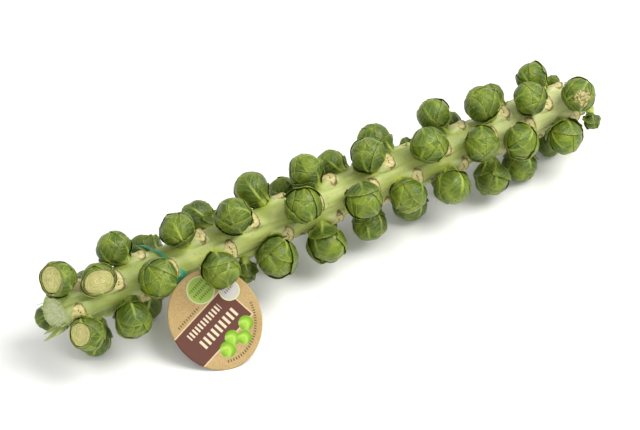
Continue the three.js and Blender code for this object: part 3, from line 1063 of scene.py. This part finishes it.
def knife_plane(sprout):
    """A point of the knife's plane and the plane's unit normal, which points at what is cut off."""
    distance, (along, out, up) = KNIFE_CUTS[sprout.order]
    facing = along * np.array([1.0, 0, 0]) + out * outward(0.0) + up * outward(math.pi / 2)
    facing = unit(facing)
    return sprout.centre + facing * distance, facing


def slice_head(mesh, sprout):
    """Cuts a mesh by the knife's plane, drops what is beyond, and closes every shell that it
    opened. The new faces take the second material, and the smaller ones stand a hair higher."""
    place, facing = knife_plane(sprout)
    edit = bmesh.new()
    edit.from_mesh(mesh)
    cut = bmesh.ops.bisect_plane(
        edit, geom=edit.verts[:] + edit.edges[:] + edit.faces[:], dist=SAME_POINT,
        plane_co=place, plane_no=facing, clear_outer=True)
    rim = [item for item in cut["geom_cut"] if isinstance(item, bmesh.types.BMEdge)]
    known = set(edit.faces)
    bmesh.ops.holes_fill(edit, edges=rim, sides=0)
    caps = [face for face in edit.faces if face not in known]
    caps.sort(key=lambda face: -face.calc_area())
    for rank, face in enumerate(caps):
        face.material_index = 1
        face.smooth = False
        bmesh.ops.translate(edit, verts=face.verts[:], vec=facing * CAP_STEP * rank)
    bmesh.ops.triangulate(edit, faces=caps)
    edit.to_mesh(mesh)
    edit.free()


def add_torn_patch(skin, sprout):
    """Dry torn flesh that fills a shallow cut: a flat rough lens just under the knife's plane."""
    place, facing = knife_plane(sprout)
    across = unit(np.cross(facing, [0, 0, 1.0]))
    turned = np.stack([across, np.cross(facing, across), facing])
    lens = ball_points(np.linspace(0, np.pi, 34)[1:-1], full_circle(60))
    reach = PATCH_RADIUS * (1 + 0.22 * waves(lens, 0.9, 31))
    lens = lens * np.stack([reach, reach, np.full_like(reach, PATCH_DEPTH)], -1)
    lens[..., 2] += 0.0007 * waves(lens, 0.0021, 32)
    sunk = PATCH_DEPTH * PATCH_SUNK
    lens[..., 2] = np.minimum(lens[..., 2], sunk - PATCH_CLEARANCE)
    skin.add_tube(place - facing * sunk + lens @ turned, leaf=-1.0)


def cut_finish(sprout):
    """Crinkled pale layers round the head's core: waves of the distance from its centre. Dry and
    brown in places, most of all where the cut only grazed the head."""
    finish = Finish(f"sprout_cut_{sprout.order + 1}")
    centre = tuple(float(value) for value in sprout.centre)
    inputs = {0: finish.place(), 1: centre}
    offset = finish.node("ShaderNodeVectorMath", {"operation": "SUBTRACT"}, inputs)
    reach = finish.node("ShaderNodeVectorMath", {"operation": "LENGTH"}, {0: offset}, output="Value")
    crinkle = (finish.noise(120, 2) - 0.5) * 0.012
    layers = ((reach + crinkle) * 2600).sine()
    depth = reach * (1 / sprout.radius)
    torn = finish.noise(190, 3)
    dry = finish.mix(torn.between(0.42, 0.60), srgb(182, 168, 122), srgb(116, 94, 56))
    flesh = finish.coats(
        finish.mix(depth.between(0.25, 0.95), srgb(206, 198, 122), srgb(172, 176, 82)),
        (layers.between(0.1, 0.9) * 0.35, srgb(226, 222, 168)),
        (layers.between(-0.5, -0.95) * 0.45, srgb(134, 144, 56)),
        (finish.noise(90, 2).between(0.4, 0.7) * 0.5, srgb(190, 172, 118)),
        (finish.noise(150, 3).between(0.5, 0.62) * 0.7, srgb(158, 172, 78)),
        (1.0 if sprout.order == GRAZED else 0.12, dry))
    return finish.paint(flesh, 0.45, layers * 0.3 + torn, 0.0004)


for sprout in sprouts:
    skin = sprout_skin(sprout)
    if sprout.order == GRAZED:
        add_torn_patch(skin, sprout)
    mesh = skin.mesh(sprout.node)
    finishes = [sprout_green]
    if sprout.order in KNIFE_CUTS:
        slice_head(mesh, sprout)
        finishes.append(cut_finish(sprout))
    stand_for(sprout.node, mesh, finishes)


# ---- Tag ----
# An egg-shaped piece of brown card. Its face is printed with a plain dark stripe edged by a pale
# line, rows of dashes, two round spots and four green balls. It stands on its lower edge and leans
# on the stalk.

TAG_LENGTH = 0.0917
TAG_WIDTH = 0.0821
TAG_THICKNESS = 0.0005
TAG_NARROWING = 0.03
TAG_LEAN = math.radians(38)
TAG_AZIMUTH = math.radians(-18)
TAG_ROLL = math.radians(13.7)
TAG_BOW = 0.0022
TAG_EDGE = 0.00012
TAG_RINGS = 30
TAG_SIDES = 160
PRINT_SLOPE = math.radians(24)
PRINT_EDGE = 0.0002
STRIPE_MIDDLE = -0.0034
STRIPE_HALF_WIDTH = 0.0168
STRIPE_END = 0.0253
# rows of dashes on the stripe and above it: start, end, middle level, height and pitch
STRIPE_ROWS = [
    (-0.0285, 0.0115, 0.0055, 0.0062, 0.0036),
    (-0.0265, 0.0185, -0.0075, 0.0088, 0.0050),
]
SMALL_ROW = (-0.0300, -0.0020, 0.0180, 0.0024, 0.0026)
# the same for an arc inside the card's edge: radians round it, and shares of the way out to it
EDGE_ARC = (-0.15, 1.62, 0.845, 0.055, 0.066)
# the spots: middle, radius, colour, and the level and half length of their rows of dashes
SPOTS = [
    (-0.0013, 0.0289, 0.0126, srgb(156, 182, 84),
     [(0.0052, 0.0085), (0.0, 0.0095), (-0.0052, 0.0075)]),
    (0.0219, 0.0188, 0.0093, srgb(186, 182, 176), [(0.0012, 0.0050)]),
]
# the balls: middle and radius
BALLS = [
    (0.0235, -0.0133, 0.0066), (0.0073, -0.0207, 0.0068),
    (0.0174, -0.0245, 0.0062), (-0.0004, -0.0285, 0.0072),
]


def turned_about(points, axis, angle):
    """Points turned about a coordinate axis by an angle."""
    first, second = (axis + 1) % 3, (axis + 2) % 3
    turned = points.copy()
    turned[..., first] = points[..., first] * math.cos(angle) - points[..., second] * math.sin(angle)
    turned[..., second] = points[..., first] * math.sin(angle) + points[..., second] * math.cos(angle)
    return turned


def tag_skin():
    """The card: rings of the egg's outline shrunk to its middle, front and back, with a slight
    bow. The outline is an ellipse whose width is a little less towards its lower end."""
    angle = full_circle(TAG_SIDES)
    width = TAG_WIDTH / 2 * np.sin(angle) * (1 + TAG_NARROWING * np.cos(angle))
    height = TAG_LENGTH / 2 * np.cos(angle)
    outline = np.stack([width, height], -1)[::-1]
    shares = np.linspace(0.02, 1, TAG_RINGS)
    front = outline[None] * shares[:, None, None]
    flat = np.concatenate([front, front[::-1]])
    bow = TAG_BOW * ((flat[..., 0] / (TAG_WIDTH / 2)) ** 2 - 0.5)
    side = np.concatenate([np.full(TAG_RINGS, TAG_THICKNESS), np.zeros(TAG_RINGS)])
    points = np.concatenate([flat, (bow + side[:, None])[..., None]], -1)
    points[TAG_RINGS - 1, :, 2] -= TAG_EDGE
    points[TAG_RINGS, :, 2] += TAG_EDGE
    placed = turned_about(points, 2, TAG_ROLL)
    placed = turned_about(placed, 0, TAG_LEAN)
    placed = turned_about(placed, 2, TAG_AZIMUTH)
    low, high = (np.array(corner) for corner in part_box("tag"))
    placed += (low + high) / 2 - (placed.min((0, 1)) + placed.max((0, 1))) / 2
    placed[..., 2] = np.maximum(placed[..., 2], 0.0)
    skin = Skin("card_x", "card_y")
    skin.add_tube(placed[:, ::-1], card_x=flat[:, ::-1, 0], card_y=flat[:, ::-1, 1])
    return skin


def along_print(x, y):
    """A place in the print's own directions: along its rows, and the level across them."""
    cosine, sine = math.cos(PRINT_SLOPE), math.sin(PRINT_SLOPE)
    return x * cosine + y * sine, y * cosine - x * sine


def dashes(along, level, start, end, middle, height, pitch):
    """A row of short upright dashes as a mask: between start and end, about the middle level."""
    inside = (level - middle).size().between(height / 2 + 0.0001, height / 2 - 0.0001)
    span = along.between(start, start + PRINT_EDGE) * along.between(end, end - PRINT_EDGE)
    return inside * span * (along * (2 * math.pi / pitch)).sine().between(-0.25, 0.25)


def card_finish():
    """Brown card with fibres, printed in flat colours: a dark stripe whose end and sides have a
    pale line, rows of plain dashes, two round spots and four green balls."""
    finish = Finish("card")
    x, y = finish.value("card_x"), finish.value("card_y")
    fibre = finish.noise(900, 3, (1, 0.25, 1))
    cloud = finish.noise(60, 2)
    along, level = along_print(x, y)
    worn = (fibre - 0.5) * 0.0005
    past = ((level - STRIPE_MIDDLE).size() - STRIPE_HALF_WIDTH).most(along - STRIPE_END) + worn
    ink = finish.mix(fibre * 0.4, srgb(92, 56, 46), srgb(108, 70, 58))
    rows = dashes(along, level, *STRIPE_ROWS[0]).most(dashes(along, level, *STRIPE_ROWS[1]))
    small = dashes(along, level, *SMALL_ROW)
    way_out = length_of(x * (2 / TAG_WIDTH), y * (2 / TAG_LENGTH))
    arc = dashes(x.math("ARCTAN2", x, 0 - y), way_out, *EDGE_ARC)
    card = finish.coats(
        finish.mix(fibre.between(0.3, 0.7), srgb(166, 140, 92), srgb(184, 158, 110)),
        (cloud.between(0.35, 0.7) * 0.35, srgb(160, 130, 80)),
        (past.between(PRINT_EDGE, -PRINT_EDGE), ink),
        ((past - 0.0007).size().between(0.0006, 0.0004), srgb(206, 184, 148)),
        (rows * 0.95, srgb(214, 200, 172)),
        (small.most(arc) * 0.8, srgb(84, 62, 44)))

    for middle_x, middle_y, radius, fill, lines in SPOTS:
        gap_x, gap_y = x - middle_x, y - middle_y
        distance = length_of(gap_x, gap_y) - radius + worn
        card = finish.coats(
            card,
            (distance.between(PRINT_EDGE, -PRINT_EDGE), srgb(200, 206, 160)),
            ((distance + 0.0010).between(PRINT_EDGE, -PRINT_EDGE), fill))
        row_along, row_level = along_print(gap_x, gap_y)
        for middle, reach in lines:
            row = dashes(row_along, row_level, -reach, reach, middle, 0.0024, 0.0022)
            card = finish.mix(row * 0.7, card, srgb(58, 74, 34))
    for middle_x, middle_y, radius in BALLS:
        gap_x, gap_y = x - middle_x, y - middle_y
        distance = length_of(gap_x, gap_y)
        fold = (distance * 620 + gap_x * 500 + gap_y * 240).sine().between(0.4, 1.0) * 0.4
        green = finish.mix(distance.between(0.0015, radius), srgb(150, 190, 56), srgb(104, 152, 30))
        green = finish.mix(fold, green, srgb(188, 214, 120))
        covered = (distance - radius + worn).between(PRINT_EDGE, -PRINT_EDGE)
        card = finish.mix(covered, card, green)
    return finish.paint(card, 0.72 + fibre * 0.15, fibre, 0.0001, specular=0.3)


stand_for("tag", tag_skin().mesh("tag"), [card_finish()])


# ---- Band ----
# A thin strip of teal plastic, looped once round the stem between the sprouts. It lies flat and
# wide against the back of the tag and is drawn narrow round the stem.

# metres along the stem from its middle, degrees of turn and distance from its axis
BAND_ROUTE = [
    (-0.151, -52, 0.0186),
    (-0.155, -18, 0.0190),
    (-0.161, 30, 0.0192),
    (-0.165, 62, 0.0196),
    (-0.170, 98, 0.0260),
    (-0.177, 124, 0.0270),
    (-0.178, 150, 0.0210),
    (-0.172, 180, 0.0195),
    (-0.164, -150, 0.0195),
    (-0.156, -96, 0.0190),
]
BAND_THICKNESS = 0.0007
BAND_WIDTH = 0.0028
BAND_SPREAD = 0.0080
BAND_SPREAD_REACH = 0.009
BAND_CRIMP = 0.10
BAND_STEPS = 220
BAND_SIDES = 24
MIDDLE_X = ROOT_X - 0.283


def closed_curve(knots, steps):
    """A smooth closed curve through points: between two of them, a cubic whose slope at each is
    half the way from the point before to the point after."""
    share = np.linspace(0, len(knots), steps, endpoint=False)
    index = share.astype(int)
    part = (share - index)[:, None]
    before, start, end, after = (knots[(index + shift) % len(knots)] for shift in (-1, 0, 1, 2))
    first = (end - before) / 2
    second = (after - start) / 2
    return ((2 * part ** 3 - 3 * part ** 2 + 1) * start + (part ** 3 - 2 * part ** 2 + part) * first
            + (3 * part ** 2 - 2 * part ** 3) * end + (part ** 3 - part ** 2) * second)


def band_skin():
    """The strip: a flat rounded section carried along its route, its flat side to the stem. It
    spreads by the tag, where the route begins and ends."""
    knots = []
    for x, turn, distance in BAND_ROUTE:
        knots.append(on_axis(MIDDLE_X + x) + outward(math.radians(turn)) * distance)
    path = closed_curve(np.array(knots), BAND_STEPS)
    forward = unit(np.roll(path, -1, 0) - np.roll(path, 1, 0))
    out = unit(path - on_axis(path[:, 0]))
    wide = unit(np.cross(forward, out))
    thick = np.cross(wide, forward)
    share = np.arange(BAND_STEPS) / BAND_STEPS
    near_tag = np.exp(-np.minimum(share, 1 - share) ** 2 / BAND_SPREAD_REACH)
    half_width = (BAND_WIDTH + BAND_SPREAD * near_tag) / 2
    around = full_circle(BAND_SIDES)
    across = np.sign(np.cos(around)) * np.abs(np.cos(around)) ** 0.35
    over = np.sign(np.sin(around)) * np.abs(np.sin(around)) ** 0.7
    crimp = 1 + BAND_CRIMP * np.sin(around * 7)[None] * (1 - near_tag)[:, None]
    rings = (path[:, None] + wide[:, None] * (half_width[:, None] * across)[..., None]
             + thick[:, None] * (BAND_THICKNESS / 2 * over * crimp)[..., None])
    skin = Skin("across")
    faces = grid_faces(BAND_STEPS + 1, BAND_SIDES, True) % (BAND_STEPS * BAND_SIDES)
    skin.add(rings, [faces[:, ::-1]], across=np.broadcast_to(across, (BAND_STEPS, BAND_SIDES)))
    return skin


def band_finish():
    """Teal plastic, faintly ribbed along its length and cloudy where it was drawn out."""
    finish = Finish("band_plastic")
    cloud = finish.noise(140, 2)
    ribs = (finish.value("across") * 18).sine()
    colour = finish.coats(
        finish.mix(cloud.between(0.3, 0.7), srgb(24, 124, 84), srgb(60, 160, 116)),
        (ribs.between(0.4, 1.0) * 0.25, srgb(104, 186, 150)))
    return finish.paint(colour, 0.28 + cloud * 0.2, ribs, 0.00008)


stand_for("band", band_skin().mesh("band"), [band_finish()])

boxes = {"cad": cad_box, "visual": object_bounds()}
{name: [list(corner) for corner in box] for name, box in boxes.items()}
